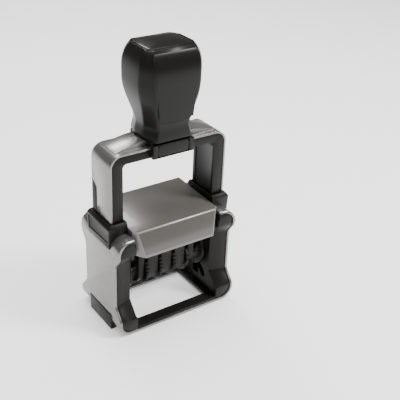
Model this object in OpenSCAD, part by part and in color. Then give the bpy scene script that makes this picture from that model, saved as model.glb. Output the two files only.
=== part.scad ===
// Self inking date stamp: a frame with a sliding bracket, a carrier that turns over as the
// bracket goes down, an ink cassette under a smoked hood, and a palm handle.
// Millimetres, +Z up, front is -Y, origin at the middle of the underside.

/* [Text plate] */
// length of the text plate, left to right
plate_length = 41; // [34:0.5:50]
// width of the text plate, front to back
plate_width = 24; // [20:0.5:29]
// distance from the carrier's axis to the printing face
die_reach = 10.5; // [10.1:0.1:11.5]

/* [Frame] */
// how far the frame's foot stands out beyond the plate's edge, each side
foot_overhang = 8.8; // [8:0.2:11]
// depth lost at the narrow middle of the frame, each side
pinch = 5.8; // [3:0.2:6.4]
// corner radius of the frame seen from the front
frame_corner = 7; // [5:0.5:8]
// thickness of the silver sleeve
shell_thickness = 1.2; // [0.8:0.1:1.6]
// thickness of the black base plate
base_thickness = 1.5; // [1:0.1:2]
// height of the collars above the frame's shoulders
collar_height = 4.3; // [3:0.1:5]

/* [Bracket] */
// depth of the bracket's legs, front to back
leg_depth = 18.6; // [18:0.2:19.4]
// thickness of the black liner in the legs
liner_thickness = 6; // [5.4:0.1:7.2]
// thickness of the silver strap
strap_thickness = 1; // [0.8:0.1:1.3]
// outer corner radius of the strap
strap_corner = 6.5; // [5:0.5:7.5]

/* [Handle] */
// height of the handle's body above the saddle
handle_height = 45; // [36:0.5:54]
// greatest width of the handle
handle_width = 34.6; // [28:0.5:42]
// greatest depth of the handle
handle_depth = 28.6; // [25:0.2:34]

/* [Mechanism] */
// diameter of the pivot pins
pivot_diameter = 4; // [3.2:0.1:4.6]
// diameter of the cam pins
cam_diameter = 3; // [2.4:0.1:3.6]
// distance of the cam pins from the pivot
cam_reach = 7; // [6.4:0.1:7.4]
// diameter of the date wheels' thumb discs
disc_diameter = 20; // [18.4:0.2:21.2]
// diameter of the date wheels' axle
axle_diameter = 3.6; // [3:0.1:4.4]
// outer diameter of the return springs
spring_diameter = 4; // [3.4:0.1:4.2]
// wire diameter of the return springs
spring_wire = 0.6; // [0.4:0.05:0.8]

/* [Fits] */
// room beside a sliding part, each side
slide_room = 0.3; // [0.2:0.05:0.5]
// room in a turning bearing, each side
bearing_room = 0.05; // [0.02:0.01:0.1]

/* [Hidden] */
$fn = 48;

// cut_over is how far a cutting shape runs past the face it opens
cut_over = 1;

// widths, from the plate outwards
bed_half = plate_length/2 + 0.4;
cheek_in = bed_half + 0.7;
cheek_out = cheek_in + 1.8;
wall_in = cheek_out + 1.2;
wall_out = wall_in + 1.4;
leg_in = wall_out + slide_room;
leg_mid = leg_in + liner_thickness;
leg_out = leg_mid + strap_thickness;
core_out = leg_out + 0.5;
frame_half = core_out + shell_thickness;

// heights, from the table upwards
pad_height = 0.5;
press_room = 0.6;
stroke = 1.2*plate_width + 0.3;
axis_z = die_reach + press_room + stroke;
die_z = axis_z + die_reach;
ledge_z = die_z + 0.1;
ledge_thickness = 1.4;
ledge_in = cheek_out - 0.8;
frame_top = die_z + 4.6;
shell_floor = pad_height + shell_thickness;
base_top = shell_floor + base_thickness;
channel_floor = 5;
leg_bottom = channel_floor + stroke + 0.9;
collar_low = frame_top - 7;
collar_top = frame_top + collar_height;
rim_top = collar_top + 1.8;
bar_under = rim_top + stroke + 1.1;
bar_thickness = 4.4;
bar_top = bar_under + bar_thickness;
strap_top = bar_top + strap_thickness;
saddle_low = bar_under + 0.4;
handle_z = bar_under + 8.4;
handle_top = handle_z + handle_height;

// depths
foot_half = plate_width/2 + foot_overhang;
sole_half = foot_half - 0.5;
pinch_half = foot_half - pinch;
lobe_half = foot_half - 1.4;
crest_half = lobe_half - 1.8;
leg_half = leg_depth/2;
channel_half = leg_half + slide_room;
core_inset = 0.5;

// frame's outline seen from the side
foot_peak_z = 8;
pinch_low_z = 17.6;
pinch_high_z = frame_top - 16.8;
lobe_low_z = frame_top - 7.8;
lobe_high_z = frame_top - 4.3;
shoulder_in = leg_in - 0.8;
jamb_angle = 17;
jamb_skin = 0.15;

// collars
collar_in = wall_out - 0.7;
collar_out = frame_half + 0.5;
collar_low_half = channel_half + 1;
collar_top_half = channel_half + 2;
rim_half = channel_half + 0.9;
cover_seat_cut = wall_out - 0.6;

// window the plate prints through
window_x = plate_length/2 + 1;
window_y = plate_width/2 + 1.5;

// side feet
side_foot_in = leg_mid - 0.3;
side_foot_out = frame_half + 0.3;
side_foot_half = channel_half + 1.7;
side_foot_top = 9.2;
side_foot_low = 0.1;

// rubber feet
rubber_x = wall_in + 1;
rubber_y = sole_half - 4.3;
rubber_radius = 2.4;
stud_radius = 0.8;
stud_top = shell_floor + 1.3;

// hood
cover_half = wall_out - 0.9;
cover_wall = 1.2;
cover_in = cover_half - cover_wall;
cover_back = foot_half - 0.5;
cover_back_z = frame_top + 3.75;
cover_front = foot_half - 3.2;
cover_front_z = frame_top + 2.5;
cover_lip = foot_half - 0.1;
cover_lip_z = frame_top - 11.4;
cover_panel_top = cover_half - 2.1;
cover_panel_low = cover_half - 5.1;
cover_low_half = wall_in - 0.3;
card_thickness = 0.4;

// ink tray
tray_half = cover_in - slide_room;
tray_low = ledge_z + bearing_room;
tray_top = tray_low + 3.75;
tray_front = foot_half - 4.4;
tray_back = foot_half - 1;
ledge_half = tray_front - 2.6;
foam_half_x = plate_length/2 + 1.1;
foam_half_y = plate_width/2 + 1.2;
foam_low = die_z + 0.4;
foam_top = tray_top - 1;

// springs
spring_x = leg_in + 3.1;
spring_y = 5;
spring_top = leg_bottom + 31;
pocket_radius = spring_diameter/2 + 0.2;
spring_turns = 12;
spring_steps = 16;
spring_sides = 6;

// carrier
drum_drop = 14.2;
drum_z = axis_z - drum_drop;
cheek_top = 6.2;
cheek_side = 8;
cheek_radius = disc_diameter/2 - 0.5;
cam_slot_room = 0.3;
pivot_slot_half = pivot_diameter/2 + 0.4;
bed_low = 7;
plate_low = die_reach - 1.6;
rubber_low = die_reach - 0.8;
band_window_y = 4.8;
bed_window_y = 6.6;

// date wheels
wheel_pitch = 8.2;
disc_thickness = 1.6;
wheel_gap = 0.2;
wheel_count = 3;
wheels_half = wheel_pitch*wheel_count/2 + disc_thickness/2;
bed_window_x = wheels_half + 0.2;
disc_radius = disc_diameter/2;
hub_radius = disc_radius - 3.35;
band_in = hub_radius + 0.35;
band_out = band_in + 1;
band_width = wheel_pitch - disc_thickness - 0.6;
band_face_half = 3;
band_shoulder_z = 2.4;
anvil_half_y = band_face_half - 0.6;
anvil_top = die_reach - 0.8;
anvil_low = 0.6;
side_plate_in = wheels_half + 0.5;
side_plate_out = side_plate_in + 3.4;

// saddle, lock button and handle
saddle_x = 11.6;
saddle_y = leg_half + 3;
button_x = 8.7;
button_low = saddle_low + 0.5;
button_top = button_low + 5.8;
button_thickness = 1.2;
button_front = saddle_y - 0.2;
button_room = 0.2;
rim_drop = 1.3;
saddle_chamfer = 2.8;
plug_x = 5;
plug_y = 6;
plug_top = handle_z + 8;
cavity_top = handle_z + 34;
screw_x = 7.2;
screw_radius = 1.2;
screw_head = 2.3;
screw_head_height = 1.4;
screw_top = handle_z + 7;
panel_half_top = handle_width/2 - 4.7;
panel_half_low = panel_half_top - 3.2;
panel_low_z = handle_z + handle_height*0.25;
panel_top_z = handle_top - 1.6;
panel_back = handle_depth/2 - 3.1;
panel_proud = 0.4;
back_panel_proud = 0.2;
panel_lean = 0.9;
seat_proud = 1;
seat_edge = 0.9;
seat_drop = 1.4;
seat_rise = 12;
cap_half_x = handle_width/2 - 4.9;
cap_half_y = handle_depth/2 - 5.2;
cap_depth = 2;
cap_corner = 3.5;
cap_crown = 1.2;
body_top = handle_top - 0.2;

// ---- shared shapes ----

// box between two x, two y and two z positions
module box(x0, x1, y0, y1, z0, z1) translate([x0, y0, z0]) cube([x1 - x0, y1 - y0, z1 - z0]);
// outline drawn in y and z, carried from x0 to x1
module along_x(x0, x1) translate([x0, 0, 0]) rotate([90, 0, 90]) linear_extrude(x1 - x0) children();
// outline drawn in x and z, carried from y0 to y1
module along_y(y0, y1) translate([0, y1, 0]) rotate([90, 0, 0]) linear_extrude(y1 - y0) children();
// round bar lying along x
module bar_x(x0, x1, y, z, r) translate([x0, y, z]) rotate([0, 90, 0]) cylinder(r = r, h = x1 - x0);
// the same shape on the left (-1) or the right (1)
module on_side(s) { if (s < 0) mirror([1, 0, 0]) children(); else children(); }
// rectangle with four round corners
module round_rect(x0, x1, z0, z1, r) {
    translate([x0 + r, z0]) square([x1 - x0 - 2*r, z1 - z0]);
    translate([x0, z0 + r]) square([x1 - x0, z1 - z0 - 2*r]);
    for (x = [x0 + r, x1 - r], z = [z0 + r, z1 - r]) translate([x, z]) circle(r = r);
}

// smooth step from 0 to 1
function ease(t) = (1 - cos(180*t))/2;
// points of a smooth change of depth between two heights, without the last one
function swell(z0, y0, z1, y1, n) = [for (i = [0:n - 1]) let (t = i/n) [y0 + (y1 - y0)*ease(t),
    z0 + (z1 - z0)*t]];
// one side of the frame's hourglass outline
frame_edge = concat(
    swell(0, sole_half, foot_peak_z, foot_half, 3),
    swell(foot_peak_z, foot_half, pinch_low_z, pinch_half, 8),
    [[pinch_half, pinch_low_z]],
    swell(pinch_high_z, pinch_half, lobe_low_z, lobe_half, 8),
    [[lobe_half, lobe_low_z]],
    [for (i = [0:6]) [crest_half + (lobe_half - crest_half)*cos(15*i),
        lobe_high_z + (frame_top - lobe_high_z)*sin(15*i)]]);
module hourglass(inset) polygon(concat([for (p = frame_edge) [p[0] - inset, p[1]]],
    [for (i = [len(frame_edge) - 1:-1:0]) [inset - frame_edge[i][0], frame_edge[i][1]]]));

// outline of the collars seen from the side, also the notch they sit in
module collar_outline() polygon([[-collar_low_half, collar_low], [collar_low_half, collar_low],
    [collar_top_half, collar_top], [rim_half, rim_top], [-rim_half, rim_top], [-collar_top_half,
        collar_top]]);

// block of the side foot, also the notch it sits in
module side_foot_block(out) {
    box(side_foot_in, out, -side_foot_half, side_foot_half, side_foot_low, channel_floor);
    box(core_out, out, -side_foot_half, side_foot_half, channel_floor, side_foot_top);
}

// ---- frame ----

module frame_shell() {
    color([0.66, 0.65, 0.63]) difference() {
        intersection() {
            along_y(-foot_half - cut_over, foot_half + cut_over) difference() {
                round_rect(-frame_half, frame_half, pad_height, frame_top, frame_corner);
                round_rect(-core_out, core_out, shell_floor, frame_top - shell_thickness,
                    frame_corner - shell_thickness);
            }
            along_x(-frame_half - cut_over, frame_half + cut_over) hourglass(0);
        }
        box(-shoulder_in, shoulder_in, -foot_half - cut_over, foot_half + cut_over, collar_low,
            frame_top + cut_over);
        box(-window_x, window_x, -window_y, window_y, -cut_over, base_top);
        for (s = [-1, 1]) on_side(s) {
            along_x(collar_in, collar_out + cut_over) collar_outline();
            side_foot_block(side_foot_out + cut_over);
            for (y = [-rubber_y, rubber_y]) translate([rubber_x, y, 0]) cylinder(r = stud_radius,
                h = shell_floor + cut_over);
        }
    }
}

// track the cam pin follows while the carrier turns half a turn
function cam_y(a) = cam_reach*cos(a);
function cam_z(a) = axis_z - stroke*a/180 - cam_reach*sin(a);
function cam_edge(a, side) =
    let (dy = -cam_reach*sin(a), dz = -stroke/PI - cam_reach*cos(a), l = norm([dy, dz]),
        w = side*(cam_diameter/2 + cam_slot_room))
    [cam_y(a) - w*dz/l, cam_z(a) + w*dy/l];
cam_steps = 18;
module cam_track() {
    polygon(concat([for (i = [0:cam_steps]) cam_edge(180*i/cam_steps, 1)],
        [for (i = [cam_steps:-1:0]) cam_edge(180*i/cam_steps, -1)]));
    for (a = [0, 180]) translate([cam_y(a), cam_z(a)]) circle(r = cam_diameter/2 + cam_slot_room);
}

// what is taken off a jamb: its front leans inwards, upright at the waist and sloping out above and below it
module jamb_cut() {
    waist = core_inset - pinch_half;
    translate([core_out - 1, waist, 0]) rotate([0, 0, -jamb_angle]) translate([0, -waist, 0])
        along_x(wall_in - core_out - 3*cut_over, 2*cut_over)
            polygon([[-2*foot_half, foot_peak_z + 1], [-foot_half, foot_peak_z + 1], [waist - jamb_skin,
                pinch_low_z - 1.3],
                [waist - jamb_skin, pinch_high_z + 1.3], [-lobe_half, lobe_low_z - 1], [-2*foot_half,
                    lobe_low_z - 1]]);
}

module side_frame(s) {
    color([0.17, 0.165, 0.16]) on_side(s) difference() {
        union() {
            intersection() {
                along_y(-foot_half, foot_half)
                    round_rect(-core_out, core_out, shell_floor, frame_top - shell_thickness,
                        frame_corner - shell_thickness);
                along_x(wall_in, core_out + cut_over) hourglass(core_inset);
            }
            box(ledge_in, wall_in + cut_over/2, -ledge_half, ledge_half, ledge_z - ledge_thickness,
                ledge_z);
        }
        // the leg's channel, open to the sleeve
        box(wall_out, core_out + cut_over, -channel_half, channel_half, channel_floor,
            frame_top + cut_over);
        // the collar's notch and the hood's seat
        along_x(collar_in, core_out + cut_over) collar_outline();
        box(wall_in - cut_over, cover_seat_cut, -foot_half, foot_half, ledge_z, frame_top);
        side_foot_block(side_foot_out);
        // slot for the pivot pin and track for the cam pin
        box(wall_in - cut_over, wall_out + cut_over/2, -pivot_slot_half, pivot_slot_half,
            axis_z - stroke - pivot_slot_half, axis_z + pivot_slot_half);
        along_x(wall_in - cut_over, wall_out + cut_over/2) cam_track();
        for (m = [0, 1]) mirror([0, m, 0]) jamb_cut();
        for (y = [-rubber_y, rubber_y]) translate([rubber_x, y, 0]) cylinder(r = stud_radius, h = stud_top);
    }
}
module side_frame_left() side_frame(-1);
module side_frame_right() side_frame(1);

bridge_half = 2;
slot_in = window_x + 1.2;
slot_half = window_y - 1.5;
module base_plate() {
    color([0.2, 0.195, 0.19]) difference() {
        intersection() {
            box(-wall_in, wall_in, -foot_half, foot_half, shell_floor, base_top);
            along_x(-wall_in, wall_in) hourglass(core_inset);
        }
        box(-window_x, window_x, -window_y, window_y, shell_floor - cut_over, base_top + cut_over);
        for (s = [-1, 1], m = [0, 1]) on_side(s) mirror([0, m, 0])
            box(slot_in, wall_in - 0.5, bridge_half, slot_half, shell_floor - cut_over,
                base_top + cut_over);
    }
}

module leg_guide(s) {
    color([0.18, 0.175, 0.17]) on_side(s) difference() {
        intersection() {
            along_x(collar_in, collar_out) collar_outline();
            along_y(-collar_top_half, collar_top_half) polygon([[collar_in, collar_low],
                [collar_out - 0.3, collar_low],
                [collar_out, collar_low + 2], [collar_out, collar_top], [collar_out - 1.2, rim_top],
                    [collar_in, rim_top]]);
        }
        box(wall_out, leg_out + slide_room, -channel_half, channel_half, collar_low - cut_over,
            rim_top + cut_over);
        box(leg_out, core_out, -channel_half, channel_half, collar_low - cut_over, frame_top - 2);
    }
}
module leg_guide_left() leg_guide(-1);
module leg_guide_right() leg_guide(1);

module side_foot(s) { color([0.15, 0.15, 0.15]) on_side(s) side_foot_block(side_foot_out); }
module side_foot_left() side_foot(-1);
module side_foot_right() side_foot(1);

module rubber_foot(x, y) {
    color([0.08, 0.08, 0.08]) translate([x, y, 0]) {
        cylinder(r = rubber_radius, h = pad_height);
        cylinder(r = stud_radius, h = stud_top);
    }
}
module rubber_foot_front_left() rubber_foot(-rubber_x, -rubber_y);
module rubber_foot_front_right() rubber_foot(rubber_x, -rubber_y);
module rubber_foot_back_left() rubber_foot(-rubber_x, rubber_y);
module rubber_foot_back_right() rubber_foot(rubber_x, rubber_y);

// the inner top of the hood, at a depth y
function cover_roof(y) = cover_front_z - cover_wall + (y + cover_front)*(cover_back_z -
    cover_front_z)/(cover_back + cover_front);
chamfer_run = (cover_lip - cover_front)/(cover_panel_top - cover_panel_low);
cover_corner_y = cover_lip - (cover_half - cover_panel_low)*chamfer_run;
module clear_cover() {
    color([0.42, 0.40, 0.39, 0.75]) difference() {
        intersection() {
            along_x(-cover_half, cover_half) polygon([[cover_back, ledge_z], [cover_back,
                cover_back_z - 0.6], [cover_back - 0.7, cover_back_z],
                [-cover_front + 0.6, cover_front_z + 0.04], [-cover_front - 0.1, cover_front_z - 0.7],
                    [-cover_lip, cover_lip_z],
                [-cover_lip + cover_wall, cover_lip_z]]);
            linear_extrude(cover_back_z + cut_over) polygon([[cover_half, cover_back], [-cover_half,
                cover_back], [-cover_half, -cover_corner_y],
                [-cover_panel_low, -cover_lip], [cover_panel_low, -cover_lip], [cover_half,
                    -cover_corner_y]]);
        }
        intersection() {
            along_x(-cover_in, cover_in) polygon([[cover_back - cover_wall, tray_low - cut_over],
                [cover_back - cover_wall, cover_roof(cover_back - cover_wall)],
                [-cover_front + cover_wall, cover_roof(-cover_front + cover_wall)],
                    [-cover_lip + cover_wall, cover_lip_z - cut_over],
                [0, cover_lip_z - cut_over]]);
            linear_extrude(cover_back_z + cut_over) polygon([[cover_in, cover_back], [-cover_in,
                cover_back], [-cover_in, -cover_corner_y + 0.8],
                [-cover_panel_low + 0.4, -cover_lip + cover_wall], [cover_panel_low - 0.4,
                    -cover_lip + cover_wall], [cover_in, -cover_corner_y + 0.8]]);
        }
        // below the seat only the front panel is left, between the lobes
        for (s = [-1, 1]) on_side(s) box(cover_low_half, cover_half + cut_over, -foot_half, foot_half,
            cover_lip_z - cut_over, ledge_z);
        box(-cover_low_half - cut_over, cover_low_half + cut_over, -crest_half + cut_over, foot_half,
            cover_lip_z - cut_over, ledge_z);
        // the ink cassette leaves under the rear wall
        box(-cover_in, cover_in, cover_back - cover_wall - cut_over, cover_back + cut_over,
            ledge_z - cut_over, tray_top + 0.4);
    }
}

card_half = cover_in - 0.4;
card_front = cover_front - cover_wall - 2;
card_back = cover_back - cover_wall - 0.6;
module cover_card() {
    color([0.42, 0.41, 0.40]) along_x(-card_half, card_half) polygon([[-card_front,
        cover_roof(-card_front)], [card_back, cover_roof(card_back)],
        [card_back, cover_roof(card_back) - card_thickness], [-card_front,
            cover_roof(-card_front) - card_thickness]]);
}

spring_pitch = (spring_top - channel_floor - spring_wire)/spring_turns;
module coil() {
    n = spring_turns*spring_steps;
    m = spring_sides;
    r = (spring_diameter - spring_wire)/2;
    points = [for (i = [0:n], j = [0:m - 1]) let (a = 360*i/spring_steps, b = 360*(j + 0.5)/m,
        d = r + cos(b)*spring_wire/2/cos(180/m))
        [d*cos(a), d*sin(a), channel_floor + spring_wire/2 + spring_pitch*i/spring_steps +
            sin(b)*spring_wire/2/cos(180/m)]];
    faces = concat([[for (j = [0:m - 1]) j]], [[for (j = [m - 1:-1:0]) n*m + j]],
        [for (i = [0:n - 1], j = [0:m - 1], k = [0, 1]) let (a = i*m + j, b = i*m + (j + 1)%m, c = a + m,
            d = b + m)
            k == 0 ? [a, c, d] : [a, d, b]]);
    polyhedron(points = points, faces = faces);
}
module return_spring(s) { color([0.72, 0.72, 0.73]) translate([s*spring_x, spring_y, 0]) coil(); }
module return_spring_left() return_spring(-1);
module return_spring_right() return_spring(1);

// ---- ink cassette ----

grip_half = 14;
// the tray's front corners are cut off to clear the hood's
tray_corner = tray_front - cover_corner_y + 1.6;
module pad_tray() {
    color([0.13, 0.13, 0.14]) difference() {
        union() {
            translate([0, 0, tray_low]) linear_extrude(tray_top - tray_low) polygon([[-tray_half,
                tray_back], [tray_half, tray_back],
                [tray_half, tray_corner - tray_front], [tray_half - tray_corner, -tray_front],
                [tray_corner - tray_half, -tray_front], [-tray_half, tray_corner - tray_front]]);
            box(-grip_half, grip_half, tray_back - cut_over, foot_half - 0.2, tray_low, tray_top);
        }
        box(-foam_half_x, foam_half_x, -foam_half_y, foam_half_y, tray_low - cut_over, foam_top);
        // finger grooves in the grip's top
        for (i = [0:2]) box(-grip_half + 2, grip_half - 2, tray_back - 0.6 - 1.6*i, tray_back - 1.4*i,
            tray_top - 0.5, tray_top + cut_over);
    }
}
module ink_foam() { color([0.09, 0.09, 0.12]) box(-foam_half_x, foam_half_x, -foam_half_y, foam_half_y,
    foam_low, foam_top); }

// ---- bracket ----

insert_y = 4.4;
insert_top = leg_bottom + 44;
module insert_outline() polygon([[insert_y, leg_bottom], [leg_half, leg_bottom], [leg_half, insert_top],
    [insert_y, insert_top - 3]]);

lobe_depth = 6.3;
lobe_reach = leg_out - 4.3;
lobe_steps = 10;
module bracket_shell() {
    color([0.68, 0.67, 0.65]) difference() {
        union() {
            along_y(-leg_half, leg_half) difference() {
                round_rect(-leg_out, leg_out, 0, strap_top, strap_corner);
                round_rect(-leg_mid, leg_mid, -cut_over, bar_top, strap_corner - strap_thickness);
            }
            // raised crown along the top, highest beside the saddle
            along_y(-lobe_depth, lobe_depth) polygon(concat([[lobe_reach, strap_top - 0.5], [-lobe_reach,
                strap_top - 0.5]],
                [for (i = [0:lobe_steps]) let (x = -lobe_reach + (lobe_reach - saddle_x)*i/lobe_steps)
                    [x, strap_top + (handle_z - strap_top - 0.2)*sin(90*i/lobe_steps)]],
                [for (i = [lobe_steps:-1:0]) let (x = lobe_reach - (lobe_reach - saddle_x)*i/lobe_steps)
                    [x, strap_top + (handle_z - strap_top - 0.2)*sin(90*i/lobe_steps)]]));
        }
        box(-leg_out - cut_over, leg_out + cut_over, -leg_half - cut_over, leg_half + cut_over,
            -2*cut_over, leg_bottom);
        for (s = [-1, 1]) on_side(s) along_x(leg_mid, leg_out + cut_over) insert_outline();
        // the saddle's place and the two screws
        box(-saddle_x, saddle_x, -leg_half - cut_over, leg_half + cut_over, strap_top, handle_z + cut_over);
        for (x = [-screw_x, screw_x]) translate([x, 0, bar_under]) cylinder(r = screw_radius, h = handle_z);
    }
}

liner_half = leg_half - 0.3;
liner_corner = 2.2;
recess_depth = 0.5;
recess_top = bar_under - 3.6;
module bracket_liner() {
    color([0.14, 0.14, 0.14]) difference() {
        along_y(-liner_half, liner_half) difference() {
            round_rect(-leg_mid, leg_mid, 0, bar_top, strap_corner - strap_thickness);
            round_rect(-leg_in, leg_in, -2*liner_corner, bar_under, liner_corner);
        }
        box(-leg_out, leg_out, -leg_half, leg_half, -cut_over, leg_bottom);
        for (s = [-1, 1]) on_side(s) {
            // shallow channel in the leg's inner face
            box(leg_in - cut_over, leg_in + recess_depth, -leg_half + 1.8, leg_half - 2.3, rim_top + 1.5,
                recess_top);
            // spring pocket and pin hole
            translate([spring_x, spring_y, leg_bottom - cut_over]) cylinder(r = pocket_radius,
                h = spring_top - leg_bottom + cut_over);
            bar_x(leg_in - cut_over, leg_in + 4.2, 0, axis_z, pivot_diameter/2);
            translate([screw_x, 0, bar_under - cut_over]) cylinder(r = screw_radius,
                h = bar_thickness + 2*cut_over);
            translate([screw_x, 0, bar_under - cut_over]) cylinder(r = screw_head,
                h = screw_head_height + cut_over);
        }
    }
}

module leg_insert(s) { color([0.12, 0.12, 0.12]) on_side(s) along_x(leg_mid, leg_out) insert_outline(); }
module leg_insert_left() leg_insert(-1);
module leg_insert_right() leg_insert(1);

module pivot_pin(s) { color([0.75, 0.75, 0.76]) on_side(s) bar_x(cheek_in, leg_in + 4.2, 0, axis_z,
    pivot_diameter/2); }
module pivot_pin_left() pivot_pin(-1);
module pivot_pin_right() pivot_pin(1);

// ---- handle ----

module handle_saddle() {
    color([0.18, 0.175, 0.17]) difference() {
        union() {
            translate([0, 0, saddle_low]) linear_extrude(handle_z - saddle_low) polygon([[-saddle_x,
                -saddle_y], [saddle_x, -saddle_y],
                [saddle_x, saddle_y - saddle_chamfer], [saddle_x - saddle_chamfer, saddle_y],
                [saddle_chamfer - saddle_x, saddle_y], [-saddle_x, saddle_y - saddle_chamfer]]);
            box(-plug_x, plug_x, -plug_y, plug_y, handle_z - cut_over, plug_top);
        }
        // the bracket's top bar passes through
        box(-saddle_x - cut_over, saddle_x + cut_over, -leg_half, leg_half, saddle_low - cut_over,
            strap_top);
        // window of the lock button, and the pocket above and behind it
        box(-button_x - button_room, button_x + button_room, -saddle_y - cut_over, -leg_half + cut_over/2,
            button_low - button_room, button_top + button_room);
        box(-button_x - 0.8, button_x + 0.8, -saddle_y + 0.9, -leg_half - 0.6, button_top - cut_over,
            handle_z + cut_over);
        // the rims in front and behind are lower than the handle's foot
        for (m = [0, 1]) mirror([0, m, 0]) box(-saddle_x - cut_over, saddle_x + cut_over,
            -saddle_y - cut_over, -leg_half - 0.6,
            handle_z - rim_drop, handle_z + cut_over);
        for (x = [-screw_x, screw_x]) translate([x, 0, strap_top - cut_over]) cylinder(r = screw_radius,
            h = handle_z);
    }
}

// the lock button sits in the saddle's window, just behind its front face
module lock_button() {
    color([0.13, 0.13, 0.13]) along_y(-button_front, -button_front + button_thickness)
        round_rect(-button_x, button_x, button_low, button_top, 1.4);
}

// handle's half width and half depth at a height from 0 to 1: foot, waist, grip and brow
waist_at = 0.15;
grip_at = 0.66;
deep_at = 0.56;
foot_w = saddle_x + 1.3;
waist_w = saddle_x + 0.3;
foot_d = saddle_y;
waist_d = leg_half + 2.6;
brow_w = 3.6;
brow_d = 4;
function rise(t) = (ease(t) + sin(90*t))/2;
function handle_w(h) = h < waist_at ? foot_w + (waist_w - foot_w)*ease(h/waist_at)
    : h < grip_at ? waist_w + (handle_width/2 - waist_w)*rise((h - waist_at)/(grip_at - waist_at))
    : handle_width/2 - brow_w*pow((h - grip_at)/(1 - grip_at), 3);
function handle_d(h) = h < waist_at ? foot_d + (waist_d - foot_d)*ease(h/waist_at)
    : h < deep_at ? waist_d + (handle_depth/2 - waist_d)*rise((h - waist_at)/(deep_at - waist_at))
    : h < grip_at ? handle_depth/2
    : handle_depth/2 - brow_d*pow((h - grip_at)/(1 - grip_at), 2.5);
// half depth over the panels, which stay nearly upright below the grip
function panel_d(h) = h < grip_at ? handle_depth/2 + panel_proud - panel_lean*(1 - h/grip_at) :
    handle_d(h) + panel_proud;
// chamfer of the corners, across and along
function handle_ca(h) = 3 + 1.5*ease(min(h/grip_at, 1)) - 1.3*ease(max((h - grip_at)/(1 - grip_at), 0));
function handle_cb(h) = 8.3 - 2*ease(min(h/grip_at, 1)) - 2*ease(max((h - grip_at)/(1 - grip_at), 0));
// a corner rounded between two neighbours
function corner3(a, v, b, r) = [for (t = [0, 0.5, 1])
    let (p = v + (a - v)*r/norm(a - v),
        q = v + (b - v)*r/norm(b - v)) (1 - t)*(1 - t)*p + 2*t*(1 - t)*v + t*t*q];
function handle_outline(h, grow) = let (w = handle_w(h) + grow, d = handle_d(h) + grow, a = handle_ca(h),
    b = handle_cb(h),
    v = [[w, d - b], [w - a, d], [a - w, d], [-w, d - b], [-w, b - d], [a - w, -d], [w - a, -d], [w,
        b - d]])
    [for (i = [0:7]) each corner3(v[(i + 7)%8], v[i], v[(i + 1)%8], 1.2)];
levels = 20;
ring_count = 24;
module handle_loft(grow, top) {
    points = [for (i = [0:levels]) for (p = handle_outline(i/levels, grow)) [p[0], p[1],
        handle_z + (top - handle_z)*i/levels]];
    faces = concat([[for (j = [0:ring_count - 1]) j]],
        [[for (j = [ring_count - 1:-1:0]) levels*ring_count + j]],
        [for (i = [0:levels - 1], j = [0:ring_count - 1], k = [0, 1])
            let (a = i*ring_count + j, b = i*ring_count + (j + 1)%ring_count, c = a + ring_count,
                d = b + ring_count)
            k == 0 ? [a, c, d] : [a, d, b]]);
    polyhedron(points = points, faces = faces);
}

// block a label panel fills, from its back face outwards
module panel_block(s) {
    translate([0, s < 0 ? -panel_back : handle_depth, 0]) rotate([90, 0,
        0]) linear_extrude(handle_depth - panel_back)
        polygon([[-panel_half_low, panel_low_z], [panel_half_low, panel_low_z], [panel_half_top,
            panel_top_z - 3],
            [panel_half_top - 1.5, panel_top_z], [1.5 - panel_half_top, panel_top_z], [-panel_half_top,
                panel_top_z - 3]]);
}

module cap_block(z0, z1) translate([0, 0, z0]) linear_extrude(z1 - z0)
    round_rect(-cap_half_x, cap_half_x, -cap_half_y, cap_half_y, cap_corner);

// seat behind the front panel, standing out of the narrow waist
module panel_seat() along_y(-panel_back - seat_proud, 0)
    polygon([[seat_edge - panel_half_low, panel_low_z - seat_drop], [panel_half_low - seat_edge,
        panel_low_z - seat_drop],
        [panel_half_low, panel_low_z], [panel_half_low, panel_low_z + seat_rise], [-panel_half_low,
            panel_low_z + seat_rise],
        [-panel_half_low, panel_low_z]]);

module handle_body() {
    color([0.17, 0.165, 0.16]) difference() {
        union() {
            handle_loft(0, body_top);
            panel_seat();
        }
        panel_block(-1);
        panel_block(1);
        cap_block(handle_top - cap_depth, handle_top + cut_over);
        box(-plug_x, plug_x, -plug_y, plug_y, handle_z - cut_over, cavity_top);
        for (x = [-screw_x, screw_x]) translate([x, 0, handle_z - cut_over]) cylinder(r = screw_radius,
            h = screw_top - handle_z + cut_over);
    }
}
// the front panel stands upright over the waist, the back panel follows the body
module handle_front_panel() {
    color([0.2, 0.195, 0.19]) intersection() {
        along_x(-handle_width/2, handle_width/2) polygon(concat([[0, handle_z], [0, handle_top]],
            [for (i = [levels:-1:0]) [-panel_d(i/levels), handle_z + handle_height*i/levels]]));
        panel_block(-1);
    }
}
module handle_back_panel() {
    color([0.2, 0.195, 0.19]) intersection() {
        handle_loft(back_panel_proud, handle_top);
        panel_block(1);
    }
}
// the cap's top is crowned from side to side
crown_radius = (cap_half_x*cap_half_x + cap_crown*cap_crown)/(2*cap_crown);
module handle_cap() {
    color([0.16, 0.155, 0.15]) intersection() {
        cap_block(handle_top - cap_depth, handle_top + cap_crown);
        translate([0, handle_depth/2, handle_top + cap_crown - crown_radius]) rotate([90, 0, 0])
            cylinder(r = crown_radius, h = handle_depth, $fn = 360);
    }
}

module handle_screw(s) {
    color([0.7, 0.7, 0.71]) difference() {
        translate([s*screw_x, 0, bar_under]) {
            cylinder(r = screw_head, h = screw_head_height);
            cylinder(r = screw_radius, h = screw_top - bar_under);
        }
        box(s*screw_x - 0.3, s*screw_x + 0.3, -1.6, 1.6, bar_under - cut_over, bar_under + 0.6);
        box(s*screw_x - 1.6, s*screw_x + 1.6, -0.3, 0.3, bar_under - cut_over, bar_under + 0.6);
    }
}
module handle_screw_left() handle_screw(-1);
module handle_screw_right() handle_screw(1);

// ---- turning carrier ----

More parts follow.
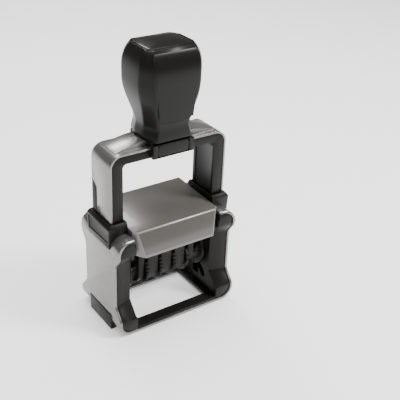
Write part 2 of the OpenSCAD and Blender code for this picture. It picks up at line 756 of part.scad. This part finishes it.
module carrier_cheek(s) {
    color([0.17, 0.165, 0.16]) on_side(s) difference() {
        union() {
            bar_x(cheek_in, cheek_out, 0, drum_z, cheek_radius);
            along_x(cheek_in, cheek_out) translate([0, axis_z])
                polygon([[-cheek_side, -drum_drop], [cheek_side, -drum_drop], [cheek_side, cheek_top - 2],
                    [cheek_side - 2, cheek_top], [2 - cheek_side, cheek_top], [-cheek_side,
                        cheek_top - 2]]);
            // curved rib round the wheels' end
            difference() {
                bar_x(cheek_out - 0.1, cheek_out + 0.5, 0, drum_z, cheek_radius - 0.6);
                bar_x(cheek_out - 0.2, cheek_out + cut_over, 0, drum_z, cheek_radius - 1.8);
                box(cheek_out - 0.2, cheek_out + cut_over, -cheek_radius, cheek_radius, drum_z + 1,
                    axis_z + cheek_radius);
            }
        }
        bar_x(cheek_in - cut_over, cheek_out + cut_over, 0, axis_z, pivot_diameter/2 + bearing_room);
        bar_x(cheek_in - cut_over, cheek_out + cut_over, cam_reach, axis_z, cam_diameter/2);
        bar_x(cheek_in - cut_over, cheek_out + cut_over, 0, drum_z, axle_diameter/2);
    }
}
module carrier_cheek_left() carrier_cheek(-1);
module carrier_cheek_right() carrier_cheek(1);

module carrier_bed() {
    color([0.19, 0.185, 0.18]) difference() {
        union() {
            box(-bed_half, bed_half, -plate_width/2, plate_width/2, axis_z + bed_low, axis_z + plate_low);
            for (s = [-1, 1]) on_side(s) {
                box(bed_half - 0.7, bed_half, -cheek_side + 1, cheek_side - 1, axis_z + 3,
                    axis_z + bed_low + 0.5);
                box(bed_half - 0.7, cheek_in, -cheek_side + 1, cheek_side - 1, axis_z + 3,
                    axis_z + cheek_top);
            }
        }
        box(-bed_window_x, bed_window_x, -bed_window_y, bed_window_y, axis_z + bed_low - cut_over,
            axis_z + die_reach);
    }
}

module text_plate() {
    color([0.62, 0.62, 0.6]) difference() {
        box(-plate_length/2, plate_length/2, -plate_width/2, plate_width/2, axis_z + plate_low,
            axis_z + rubber_low);
        box(-wheels_half, wheels_half, -band_window_y, band_window_y, axis_z + bed_low,
            axis_z + die_reach + cut_over);
    }
}

// generic printing relief: a border and plain bars, no letters
border = 1;
bar_height = 1.6;
bar_gap = 1.2;
relief = 0.4;
module text_rubber() {
    color([0.5, 0.16, 0.12]) difference() {
        box(-plate_length/2 + 0.3, plate_length/2 - 0.3, -plate_width/2 + 0.3, plate_width/2 - 0.3,
            axis_z + rubber_low, axis_z + die_reach);
        box(-wheels_half, wheels_half, -band_window_y, band_window_y, axis_z + bed_low,
            axis_z + die_reach + cut_over);
        for (m = [0, 1]) mirror([0, m, 0]) {
            box(-plate_length/2 + 0.3 + border, plate_length/2 - 0.3 - border,
                plate_width/2 - 0.3 - border - bar_gap, plate_width/2 - 0.3 - border,
                axis_z + die_reach - relief, axis_z + die_reach + cut_over);
            box(-plate_length/2 + 0.3 + border, plate_length/2 - 0.3 - border,
                plate_width/2 - 0.3 - border - 2*bar_gap - bar_height,
                plate_width/2 - 0.3 - border - bar_gap - bar_height, axis_z + die_reach - relief,
                    axis_z + die_reach + cut_over);
        }
    }
}

// outline of the band frame's side plate, straight down to the axle and round under it
module side_plate_outline() {
    translate([0, drum_z]) circle(r = band_out);
    polygon([[-band_out, drum_z], [band_out, drum_z], [band_out, axis_z + band_shoulder_z],
        [cheek_side - 2, axis_z + bed_low], [2 - cheek_side, axis_z + bed_low], [-band_out,
            axis_z + band_shoulder_z]]);
}
// the anvil the bands pass over, between two side plates that hold the axle
module band_frame() {
    color([0.2, 0.2, 0.2]) difference() {
        union() {
            along_x(0.1 - wheels_half, wheels_half - 0.1) translate([0, axis_z]) band_inside(anvil_top);
            along_x(-side_plate_in - 0.2, side_plate_in + 0.2) translate([0, axis_z]) intersection() {
                band_inside(anvil_top);
                translate([-band_out, anvil_low]) square([2*band_out, bed_low - anvil_low]);
            }
            for (s = [-1, 1]) on_side(s) along_x(side_plate_in, side_plate_out) side_plate_outline();
        }
        bar_x(-side_plate_out - cut_over, side_plate_out + cut_over, 0, drum_z, axle_diameter/2);
    }
}
// inside of the bands above the wheels
module band_inside(top) polygon([[-anvil_half_y, top], [anvil_half_y, top], [band_in,
    band_shoulder_z - 0.5],
    [band_in, anvil_low], [-band_in, anvil_low], [-band_in, band_shoulder_z - 0.5]]);

module wheel_axle() {
    color([0.75, 0.75, 0.76]) {
        bar_x(-cheek_out, cheek_out, 0, drum_z, axle_diameter/2);
        for (s = [-1, 1]) on_side(s) bar_x(side_plate_out, cheek_in, 0, drum_z, axle_diameter/2 + 1.4);
    }
}

// left edge of a wheel's thumb disc
function wheel_x(i) = -wheels_half + wheel_pitch*i;
tooth_count = 30;
tooth_depth = 0.5;
module thumb_disc(x) along_x(x, x + disc_thickness) translate([0, drum_z])
    polygon([for (i = [0:2*tooth_count - 1]) let (a = 180*i/tooth_count,
        r = disc_radius - (i%2)*tooth_depth) [r*cos(a), r*sin(a)]]);
module wheel(i) {
    last = i == wheel_count - 1;
    color([0.15, 0.15, 0.15]) difference() {
        union() {
            thumb_disc(wheel_x(i));
            bar_x(wheel_x(i) + disc_thickness - 0.1, wheel_x(i) + wheel_pitch - (last ? -0.1 : wheel_gap),
                0, drum_z, hub_radius);
            if (last) thumb_disc(wheel_x(i) + wheel_pitch);
        }
        bar_x(wheel_x(i) - cut_over, wheel_x(i) + wheel_pitch + disc_thickness + cut_over, 0, drum_z,
            axle_diameter/2 + bearing_room);
    }
}
module wheel_day() wheel(0);
module wheel_month() wheel(1);
module wheel_year() wheel(2);

// closed outline of a band: round the hub, straight up both sides, in to the anvil and flat over it
band_steps = 18;
module band_outline(r, shoulder, y, z) polygon(concat([[-r, shoulder], [-y, z], [y, z], [r, shoulder]],
    [for (i = [0:band_steps]) let (b = -180*i/band_steps) [r*cos(b), r*sin(b) - drum_drop]]));
module band(i) {
    x = wheel_x(i) + disc_thickness + 0.2;
    color([0.22, 0.21, 0.2]) along_x(x, x + band_width) translate([0, axis_z]) difference() {
        band_outline(band_out, band_shoulder_z, band_face_half, die_reach);
        band_outline(band_in, band_shoulder_z - 0.5, anvil_half_y, anvil_top);
    }
}
module band_day() band(0);
module band_month() band(1);
module band_year() band(2);

module cam_pin(s) { color([0.75, 0.75, 0.76]) on_side(s) bar_x(cheek_in, wall_out - 0.3, cam_reach,
    axis_z, cam_diameter/2); }
module cam_pin_left() cam_pin(-1);
module cam_pin_right() cam_pin(1);

// ---- what is drawn ----
frame_shell();
side_frame_left();
side_frame_right();
base_plate();
leg_guide_left();
leg_guide_right();
side_foot_left();
side_foot_right();
rubber_foot_front_left();
rubber_foot_front_right();
rubber_foot_back_left();
rubber_foot_back_right();
clear_cover();
cover_card();
return_spring_left();
return_spring_right();
pad_tray();
ink_foam();
bracket_shell();
bracket_liner();
leg_insert_left();
leg_insert_right();
handle_saddle();
handle_body();
handle_front_panel();
handle_back_panel();
handle_cap();
handle_screw_left();
handle_screw_right();
pivot_pin_left();
pivot_pin_right();
lock_button();
carrier_cheek_left();
carrier_cheek_right();
carrier_bed();
text_plate();
text_rubber();
band_frame();
wheel_axle();
band_day();
band_month();
band_year();
cam_pin_left();
cam_pin_right();
wheel_day();
wheel_month();
wheel_year();
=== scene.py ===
import math

import bmesh
import bpy
from mathutils import Matrix, Vector


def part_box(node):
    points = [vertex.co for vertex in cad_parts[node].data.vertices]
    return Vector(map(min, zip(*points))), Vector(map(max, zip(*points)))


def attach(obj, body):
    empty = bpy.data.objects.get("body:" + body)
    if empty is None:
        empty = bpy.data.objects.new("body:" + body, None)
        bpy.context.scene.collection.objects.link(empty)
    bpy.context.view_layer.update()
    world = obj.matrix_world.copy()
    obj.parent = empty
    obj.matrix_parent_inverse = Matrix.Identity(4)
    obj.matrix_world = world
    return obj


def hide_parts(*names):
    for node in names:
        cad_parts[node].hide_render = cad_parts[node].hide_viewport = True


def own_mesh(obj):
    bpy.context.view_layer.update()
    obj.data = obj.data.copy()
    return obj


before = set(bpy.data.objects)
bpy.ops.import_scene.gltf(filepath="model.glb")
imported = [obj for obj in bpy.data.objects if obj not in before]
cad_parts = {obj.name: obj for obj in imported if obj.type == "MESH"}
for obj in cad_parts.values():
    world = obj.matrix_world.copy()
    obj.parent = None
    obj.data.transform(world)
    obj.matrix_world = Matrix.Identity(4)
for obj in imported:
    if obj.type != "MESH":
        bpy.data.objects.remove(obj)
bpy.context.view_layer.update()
MM = 0.001


# ---- frame shell ----
# The sleeve round the frame: one strip of sheet steel, bent round both ends, the bottom
# and the shoulders, and painted a satin silver. It holds the two side frames together.

def node_tree(name):
    material = bpy.data.materials.new(name)
    material.use_nodes = True
    tree = material.node_tree
    shader = tree.nodes["Principled BSDF"]
    return material, tree, shader


def add_node(tree, kind, **inputs):
    node = tree.nodes.new(kind)
    for socket, value in inputs.items():
        node.inputs[socket.replace("_", " ")].default_value = value
    return node


def object_noise(tree, scale, detail=3.0, stretch=(1, 1, 1)):
    place = tree.nodes.new("ShaderNodeTexCoord")
    mapping = add_node(tree, "ShaderNodeMapping", Scale=stretch)
    noise = add_node(tree, "ShaderNodeTexNoise", Scale=scale, Detail=detail)
    tree.links.new(place.outputs["Object"], mapping.inputs["Vector"])
    tree.links.new(mapping.outputs["Vector"], noise.inputs["Vector"])
    return noise.outputs["Fac"]


def spread(tree, factor, low, high, bottom=0.1, top=0.9):
    node = add_node(tree, "ShaderNodeMapRange", From_Min=bottom, From_Max=top, To_Min=low, To_Max=high)
    tree.links.new(factor, node.inputs["Value"])
    return node.outputs["Result"]


def two_colours(tree, shader, factor, first, second):
    ramp = tree.nodes.new("ShaderNodeValToRGB")
    ramp.color_ramp.elements[0].position = 0.1
    ramp.color_ramp.elements[0].color = (*first, 1)
    ramp.color_ramp.elements[1].position = 0.9
    ramp.color_ramp.elements[1].color = (*second, 1)
    tree.links.new(factor, ramp.inputs["Fac"])
    tree.links.new(ramp.outputs["Color"], shader.inputs["Base Color"])


def grain(tree, shader, factor, depth, strength=1.0):
    bump = add_node(tree, "ShaderNodeBump", Strength=strength, Distance=depth)
    tree.links.new(factor, bump.inputs["Height"])
    tree.links.new(bump.outputs["Normal"], shader.inputs["Normal"])


def vary_roughness(tree, shader, factor, low, high, **ends):
    tree.links.new(spread(tree, factor, low, high, **ends), shader.inputs["Roughness"])


def silver_paint():
    material, tree, shader = node_tree("silver_paint")
    cloud = object_noise(tree, 60)
    two_colours(tree, shader, cloud, (0.196, 0.191, 0.183), (0.214, 0.209, 0.201))
    vary_roughness(tree, shader, object_noise(tree, 90, 1), 0.25, 0.30)
    shader.inputs["Metallic"].default_value = 0.7
    shader.inputs["Coat Weight"].default_value = 0.25
    shader.inputs["Coat Roughness"].default_value = 0.2
    grain(tree, shader, object_noise(tree, 1500, 1), 0.001 * MM, 0.1)
    return material


def merged_copy(node):
    shape = bmesh.new()
    shape.from_mesh(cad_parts[node].data)
    bmesh.ops.remove_doubles(shape, verts=shape.verts, dist=0.002 * MM)
    bmesh.ops.dissolve_limit(shape, angle_limit=math.radians(0.6), verts=shape.verts, edges=shape.edges)
    return shape


def round_edges(shape, size, segments=2, angle=32):
    sharp = [e for e in shape.edges if len(e.link_faces) == 2 and e.calc_face_angle(0) > math.radians(angle)]
    bmesh.ops.bevel(shape, geom=sharp, offset=size, segments=segments, profile=0.5, affect="EDGES",
                    material=-1, clamp_overlap=True)


def piece(name, shape, material, body, *nodes, angle=38):
    mesh = bpy.data.meshes.new(name)
    shape.to_mesh(mesh)
    shape.free()
    mesh.polygons.foreach_set("use_smooth", [True] * len(mesh.polygons))
    mesh.set_sharp_from_angle(angle=math.radians(angle))
    mesh.materials.append(material)
    thing = bpy.data.objects.new(name, mesh)
    bpy.context.scene.collection.objects.link(thing)
    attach(thing, body)
    for node in nodes:
        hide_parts(node)
    return thing


def finished(node, material, body, edge, segments=2, angle=32):
    shape = merged_copy(node)
    round_edges(shape, edge, segments, angle)
    return piece(node + "_piece", shape, material, body, node)


SILVER = silver_paint()
finished("frame_shell", SILVER, "frame", 0.25 * MM)


# ---- side frames, base plate, leg guides and side feet ----
# The black moulded parts inside the sleeve. They are injection moulded in a fine matte
# plastic, snap into the sleeve and carry the bracket's legs.

def black_plastic(name, colour, roughness, grit=1400, depth=0.006):
    material, tree, shader = node_tree(name)
    lighter = tuple(c * 1.15 for c in colour)
    two_colours(tree, shader, object_noise(tree, 90), colour, lighter)
    vary_roughness(tree, shader, object_noise(tree, 60), roughness - 0.02, roughness + 0.02)
    grain(tree, shader, object_noise(tree, grit, 2), depth * MM, 0.4)
    shader.inputs["Specular IOR Level"].default_value = 0.15
    return material


BLACK = black_plastic("black_plastic", (0.010, 0.009, 0.008), 0.38)
for node in ("side_frame_left", "side_frame_right", "base_plate", "side_foot_left", "side_foot_right"):
    finished(node, BLACK, "frame", 0.3 * MM)


# ---- leg guides ----
# The black collars round the bracket's legs, moulded in one with a sunk outer face and a
# chamfered rim, and clipped into the tops of the side frames.

def outermost(shape, axis, sign, slack=0.05 * MM):
    reach = max(sign * v.co[axis] for v in shape.verts)
    return [f for f in shape.faces if all(sign * v.co[axis] > reach - slack for v in f.verts)]


def leg_guide(side, sign):
    node = "leg_guide_" + side
    shape = merged_copy(node)
    face = outermost(shape, 0, sign)
    bmesh.ops.inset_region(shape, faces=face, thickness=1.2 * MM, use_even_offset=True)
    bmesh.ops.inset_region(shape, faces=face, thickness=0.35 * MM, depth=-0.4 * MM, use_even_offset=True)
    round_edges(shape, 0.18 * MM)
    piece(node + "_piece", shape, BLACK, "frame", node)


for side, sign in (("left", -1), ("right", 1)):
    leg_guide(side, sign)


# ---- rubber feet ----
# Four soft rubber pads under the base. Each is moulded with a stud that is pressed
# through the sleeve into the side frame.

def rubber(name, colour):
    material, tree, shader = node_tree(name)
    two_colours(tree, shader, object_noise(tree, 200), colour, tuple(c * 1.4 for c in colour))
    shader.inputs["Roughness"].default_value = 0.75
    grain(tree, shader, object_noise(tree, 900), 0.04 * MM, 0.5)
    return material


FOOT_RUBBER = rubber("foot_rubber", (0.012, 0.012, 0.012))
for end in ("front_left", "front_right", "back_left", "back_right"):
    finished("rubber_foot_" + end, FOOT_RUBBER, "frame", 0.12 * MM)


# ---- hood and its card ----
# The smoke-tinted hood over the ink cassette, moulded in clear plastic, with a plain grey
# card slipped in under its top. Its front corner facets, front rim band and up-front crease
# are painted lighter, a painted highlight in the hood's own colour.

def smoke_plastic():
    material, tree, shader = node_tree("smoke_plastic")
    ramp = tree.nodes.new("ShaderNodeValToRGB")
    ramp.color_ramp.elements[0].color = (0.086, 0.079, 0.072, 1)
    ramp.color_ramp.elements[1].color = (0.215, 0.201, 0.188, 1)
    # painted highlight: a per-face level moves the smoke colour towards the lighter ramp end
    edge = tree.nodes.new("ShaderNodeAttribute")
    edge.attribute_name = "painted_facet_highlight"
    cloud = spread(tree, object_noise(tree, 25, 1), 0.0, 0.05, 0.0, 1.0)
    both = tree.nodes.new("ShaderNodeMath")
    tree.links.new(edge.outputs["Fac"], both.inputs[0])
    tree.links.new(cloud, both.inputs[1])
    tree.links.new(both.outputs["Value"], ramp.inputs["Fac"])
    tree.links.new(ramp.outputs["Color"], shader.inputs["Base Color"])
    vary_roughness(tree, shader, object_noise(tree, 40, 1), 0.21, 0.27, bottom=0.0, top=1.0)
    shader.inputs["IOR"].default_value = 1.49
    shader.inputs["Coat Weight"].default_value = 0.2
    return material


def hood():
    shape = merged_copy("clear_cover")
    low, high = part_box("clear_cover")
    round_edges(shape, 0.45 * MM, 3)
    rim_z = low[2] + 1.5 * MM
    bmesh.ops.bisect_plane(shape, geom=shape.verts[:] + shape.edges[:] + shape.faces[:], dist=0.001 * MM,
                           plane_co=(0, 0, rim_z), plane_no=(0, 0, 1))
    light = shape.loops.layers.float_color.new("painted_facet_highlight")
    # painted highlight levels set by facing: front corner facets 0.75, front rim band 0.45, up-front crease
    # 0.9
    for face in shape.faces:
        x, y, z = abs(face.normal.x), -face.normal.y, face.normal.z
        corner = 0.2 < x < 0.95 and y > 0.2
        rim = face.calc_center_median().z < rim_z and y > 0.3
        crease = 0.35 < z < 0.95 and y > 0.25
        level = 0.75 if corner else 0.45 if rim else 0.9 if crease else 0.0
        for loop in face.loops:
            loop[light] = (level, level, level, 1)
    piece("clear_cover_piece", shape, smoke_plastic(), "frame", "clear_cover")


def card_stock():
    material, tree, shader = node_tree("card_stock")
    two_colours(tree, shader, object_noise(tree, 400), (0.20, 0.19, 0.18), (0.24, 0.23, 0.22))
    shader.inputs["Roughness"].default_value = 0.85
    grain(tree, shader, object_noise(tree, 1500), 0.02 * MM, 0.4)
    return material


hood()
finished("cover_card", card_stock(), "frame", 0.05 * MM, 1)


# ---- return springs ----
# Two coil springs of drawn steel wire, one loose in each leg. They stand on the floor of
# the side frames' channels, shorten with the bracket and push it back up.

def bright_steel():
    material, tree, shader = node_tree("bright_steel")
    two_colours(tree, shader, object_noise(tree, 300), (0.52, 0.52, 0.53), (0.62, 0.62, 0.63))
    vary_roughness(tree, shader, object_noise(tree, 800), 0.18, 0.32)
    shader.inputs["Metallic"].default_value = 1.0
    return material


def return_spring(side):
    node = "return_spring_" + side
    shape = bmesh.new()
    shape.from_mesh(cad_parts[node].data)
    bmesh.ops.remove_doubles(shape, verts=shape.verts, dist=0.002 * MM)
    spring = piece(node + "_piece", shape, STEEL, "frame", node, angle=75)
    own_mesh(spring)


STEEL = bright_steel()
for side in ("left", "right"):
    return_spring(side)


# ---- ink cassette ----
# A black moulded tray with a block of ink-soaked foam pressed into it, face down under the
# hood. It rests on two ledges and is pulled out at the back to be replaced.

def ink_foam():
    material, tree, shader = node_tree("ink_foam")
    two_colours(tree, shader, object_noise(tree, 700), (0.008, 0.008, 0.016), (0.02, 0.02, 0.035))
    shader.inputs["Roughness"].default_value = 0.55
    grain(tree, shader, object_noise(tree, 1800, 4), 0.15 * MM, 0.8)
    return material


finished("pad_tray", BLACK, "ink_pad", 0.2 * MM)
finished("ink_foam", ink_foam(), "ink_pad", 0.15 * MM)


# ---- bracket ----
# The silver strap bent into an upside-down U, its black liner and the two black inserts
# let into its outer faces.

finished("bracket_shell", SILVER, "bracket", 0.22 * MM)
LINER = black_plastic("liner_plastic", (0.008, 0.0075, 0.007), 0.36)
finished("bracket_liner", LINER, "bracket", 0.3 * MM)
for side in ("left", "right"):
    finished("leg_insert_" + side, LINER, "bracket", 0.12 * MM)
    finished("pivot_pin_" + side, STEEL, "bracket", 0.1 * MM)
    finished("handle_screw_" + side, STEEL, "bracket", 0.08 * MM)


# ---- saddle and lock button ----
# The black moulded saddle that clamps the handle to the bracket, with the glossy lock
# button in the window of its front face.

PANEL = black_plastic("panel_plastic", (0.009, 0.0085, 0.008), 0.24, 1600, 0.002)
finished("handle_saddle", BLACK, "bracket", 0.3 * MM)
finished("lock_button", PANEL, "lock", 0.25 * MM, 3)


# ---- handle ----
# The palm grip, moulded in a satin black plastic: a narrow foot and waist that swell into
# the grip, with hollow corners, two label panels let in and a flat cap on top.

GRIP = black_plastic("grip_plastic", (0.010, 0.0095, 0.009), 0.3, 1100, 0.004)
LEVELS = 56
WAIST_AT, DEEP_AT, GRIP_AT = 0.15, 0.56, 0.66
grip_low, grip_high = (Vector(v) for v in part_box("handle_body"))
GRIP_W = (grip_high.x - grip_low.x) / 2
GRIP_D = grip_high.y
FOOT_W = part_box("handle_saddle")[1][0] + 1.3 * MM
FOOT_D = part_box("handle_saddle")[1][1]


def ease(t):
    return (1 - math.cos(math.pi * t)) / 2


def rise(t):
    return (ease(t) + math.sin(math.pi / 2 * t)) / 2


def grip_half(h, foot, waist, widest, widest_at, brow, power):
    if h < WAIST_AT:
        return foot + (waist - foot) * ease(h / WAIST_AT)
    if h < widest_at:
        return waist + (widest - waist) * rise((h - WAIST_AT) / (widest_at - WAIST_AT))
    return widest - brow * max((h - GRIP_AT) / (1 - GRIP_AT), 0) ** power


def grip_width(h):
    return grip_half(h, FOOT_W, FOOT_W - 1 * MM, GRIP_W, GRIP_AT, 3.6 * MM, 3)


def grip_depth(h):
    return grip_half(h, FOOT_D, FOOT_D - 0.4 * MM, GRIP_D, DEEP_AT, 4 * MM, 2.5)


def grip_corner(h):
    over = max((h - GRIP_AT) / (1 - GRIP_AT), 0)
    under = ease(min(h / GRIP_AT, 1))
    return (3 + 1.5 * under - 1.3 * ease(over)) * MM, (8.3 - 2 * under - 2 * ease(over)) * MM


def eight_sided(width, depth, across, along, z):
    quarter = [(width, depth - along), (width - across, depth)]
    half = quarter + [(-x, y) for x, y in reversed(quarter)]
    return [(x, y, z) for x, y in half + [(-x, -y) for x, y in half]]


def ring(shape, points):
    corners = [shape.verts.new(point) for point in points]
    return [shape.edges.new((a, b)) for a, b in zip(corners, corners[1:] + corners[:1])]


def skin(shape, rings):
    loops = [ring(shape, points) for points in rings]
    for below, above in zip(loops, loops[1:]):
        bmesh.ops.bridge_loops(shape, edges=below + above)
    for end in (loops[0], loops[-1]):
        bmesh.ops.contextual_create(shape, geom=end)
    bmesh.ops.recalc_face_normals(shape, faces=shape.faces)


def upright_edges(shape, slope=0.5):
    return [e for e in shape.edges if abs(e.verts[0].co.z - e.verts[1].co.z) > slope * e.calc_length()]


def grip_ring(h):
    z = grip_low.z + (grip_high.z - grip_low.z) * h
    return eight_sided(grip_width(h), grip_depth(h), *grip_corner(h), z)


def cap_ring(share, z, grow=0.0):
    low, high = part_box("handle_cap")
    corner = 1.6 * MM * share
    return eight_sided(high[0] * share + grow, high[1] * share + grow, corner, corner, z)


def panel_rings(z_low, z_high, low_half, high_half, front, rear, sign, sag):
    rings = []
    for i in range(LEVELS // 2 + 1):
        t = i / (LEVELS // 2)
        z = z_low + (z_high - z_low) * t
        half = low_half + (high_half - low_half) * min(t * 1.1, 1) - 1.5 * MM * max(t * 10 - 9, 0) ** 2
        points = []
        for j in range(ACROSS + 1):
            u = 2 * j / ACROSS - 1
            bow = 1 - u * u
            drop = sag * bow * max(1 - 4 * t, 0)
            points.append((-sign * u * half, -sign * (front(z) + PANEL_BOW * bow), z - drop))
        rings.append(points + [(sign * half, -sign * rear, z), (-sign * half, -sign * rear, z)])
    return rings


def height_share(z):
    return (z - grip_low.z) / (grip_high.z - grip_low.z)


def upright_front(z):
    h = height_share(z)
    if h < GRIP_AT:
        return PANEL_FRONT - PANEL_BOW - PANEL_LEAN * (1 - h / GRIP_AT)
    return PANEL_FRONT - PANEL_BOW - (GRIP_D - grip_depth(h))


ACROSS = 10
PANEL_BOW = 0.25 * MM
PANEL_LEAN = 0.9 * MM
PANEL_SAG = 0.9 * MM
GROOVE = 0.35 * MM
CROWN_RINGS = 8
CROWN_STEP = 0.1
panel_low, panel_high = (Vector(v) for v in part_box("handle_front_panel"))
PANEL_FRONT = -panel_low.y
PANEL_REAR = -panel_high.y
PANEL_TOP_HALF = panel_high.x
PANEL_LOW_HALF = panel_high.x - 3.2 * MM


def handle_body():
    shape = bmesh.new()
    rings = [grip_ring(i / LEVELS) for i in range(LEVELS + 1)]
    rings += [cap_ring(1, grip_high.z, GROOVE), cap_ring(1, grip_high.z - 1.5 * MM, GROOVE)]
    skin(shape, rings)
    corners = [e for e in upright_edges(shape) if e.verts[0].co.z < grip_high.z - 2 * MM
               or abs(e.verts[0].co.x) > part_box("handle_cap")[1][0] + 2 * GROOVE]
    bmesh.ops.bevel(shape, geom=corners, offset=1.1 * MM, segments=4, profile=0.5, affect="EDGES",
                    material=-1, clamp_overlap=True)
    round_edges(shape, 0.3 * MM, 3, 50)
    skin(shape, panel_rings(panel_low.z - 1.4 * MM, panel_low.z + 12 * MM, PANEL_LOW_HALF - 0.5 * MM,
                            PANEL_LOW_HALF + 0.6 * MM, lambda z: PANEL_FRONT - 2.2 * MM, 0, 1, PANEL_SAG))
    piece("handle_body_piece", shape, GRIP, "bracket", "handle_body", angle=60)


def handle_panel(node, front, rear, sign, sag):
    shape = bmesh.new()
    low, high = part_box(node)
    skin(shape, panel_rings(low[2], high[2], PANEL_LOW_HALF, PANEL_TOP_HALF, front, rear, sign, sag))
    round_edges(shape, 0.45 * MM, 4, 40)
    piece(node + "_piece", shape, PANEL, "bracket", node, angle=60)


def handle_cap():
    shape = bmesh.new()
    low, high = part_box("handle_cap")
    rim = grip_high.z + 0.1 * MM
    crown = high[2] - rim
    rings = [cap_ring(1, low[2]), cap_ring(1, rim)]
    for i in range(1, CROWN_RINGS + 1):
        rings.append(cap_ring(1 - CROWN_STEP * i, rim + crown * math.sin(math.pi / 2 * i / CROWN_RINGS)))
    skin(shape, rings)
    round_edges(shape, 0.3 * MM, 3, 50)
    piece("handle_cap_piece", shape, PANEL, "bracket", "handle_cap", angle=60)


handle_body()
handle_panel("handle_front_panel", upright_front, PANEL_REAR, 1, PANEL_SAG)
handle_panel("handle_back_panel", lambda z: grip_depth(height_share(z)) - 0.05 * MM, PANEL_REAR, -1, 0)
handle_cap()


# ---- carrier ----
# The turning carrier: moulded cheeks and bed, a metal text plate with its rubber glued on,
# and rubber date bands over toothed wheels that turn on a steel axle between the cheeks.

BAND = rubber("band_rubber", (0.010, 0.009, 0.008))
PRINT = rubber("print_rubber", (0.25, 0.05, 0.035))
WHEEL = black_plastic("wheel_plastic", (0.008, 0.0075, 0.007), 0.3)
for node in ("carrier_cheek_left", "carrier_cheek_right", "carrier_bed", "band_frame"):
    finished(node, BLACK, "carrier", 0.2 * MM)
finished("text_plate", STEEL, "carrier", 0.1 * MM)
finished("text_rubber", PRINT, "carrier", 0.08 * MM)
for node in ("wheel_axle", "cam_pin_left", "cam_pin_right"):
    finished(node, STEEL, "carrier", 0.1 * MM)
for unit in ("day", "month", "year"):
    finished("band_" + unit, BAND, "carrier", 0.12 * MM)
    finished("wheel_" + unit, WHEEL, unit, 0.12 * MM)


# ---- floor, light and camera ----
# A pale painted table in soft studio light: one wide lamp overhead, a small one in front on
# the right and one behind.

def floor_sheet():
    shape = bmesh.new()
    bmesh.ops.create_grid(shape, x_segments=1, y_segments=1, size=3.0)
    mesh = bpy.data.meshes.new("floor")
    shape.to_mesh(mesh)
    shape.free()
    material, tree, shader = node_tree("floor_paint")
    two_colours(tree, shader, object_noise(tree, 3), (0.90, 0.90, 0.90), (0.92, 0.92, 0.92))
    shader.inputs["Roughness"].default_value = 0.6
    shader.inputs["Emission Color"].default_value = (1, 1, 1, 1)
    shader.inputs["Emission Strength"].default_value = 0.5
    mesh.materials.append(material)
    thing = bpy.data.objects.new("floor", mesh)
    bpy.context.scene.collection.objects.link(thing)


def soft_light(name, place, size, power, aim=(0, 0, 0.06)):
    data = bpy.data.lights.new(name, "AREA")
    data.shape = "RECTANGLE"
    data.size = size
    data.size_y = size
    data.energy = power
    thing = bpy.data.objects.new(name, data)
    thing.location = place
    thing.rotation_euler = (Vector(place) - Vector(aim)).to_track_quat("Z", "Y").to_euler()
    bpy.context.scene.collection.objects.link(thing)


floor_sheet()
soft_light("top_light", (0.05, 0.10, 0.95), 0.8, 15)
soft_light("key_light", (0.50, -0.46, 0.72), 0.24, 10)
soft_light("back_light", (0.14, 0.75, 0.75), 0.26, 4)
world = bpy.data.worlds.new("studio")
world.use_nodes = True
world.node_tree.nodes["Background"].inputs["Color"].default_value = (1, 1, 1, 1)
world.node_tree.nodes["Background"].inputs["Strength"].default_value = 0.15
bpy.context.scene.world = world

CAMERA_YAW = math.radians(-36.02)
CAMERA_PITCH = math.radians(29.19)
CAMERA_ROLL = math.radians(2.68)
CAMERA_AIM = Vector((0.0255, -0.0002, 0.0540))
CAMERA_DISTANCE = 0.4097
CAMERA_LENS = 69.2

back = Vector((math.sin(CAMERA_YAW) * math.cos(CAMERA_PITCH), -math.cos(CAMERA_YAW) * math.cos(CAMERA_PITCH),
               math.sin(CAMERA_PITCH)))
right = Vector((math.cos(CAMERA_YAW), math.sin(CAMERA_YAW), 0))
up = back.cross(right)
tilted_right = right * math.cos(CAMERA_ROLL) + up * math.sin(CAMERA_ROLL)
tilted_up = up * math.cos(CAMERA_ROLL) - right * math.sin(CAMERA_ROLL)
camera_data = bpy.data.cameras.new("camera")
camera_data.lens = CAMERA_LENS
camera_data.sensor_width = 36
camera_data.clip_start = 0.01
camera = bpy.data.objects.new("camera", camera_data)
camera_turn = Matrix((tilted_right, tilted_up, back)).transposed().to_4x4()
camera.matrix_world = Matrix.Translation(CAMERA_AIM + back * CAMERA_DISTANCE) @ camera_turn
bpy.context.scene.collection.objects.link(camera)
bpy.context.scene.camera = camera
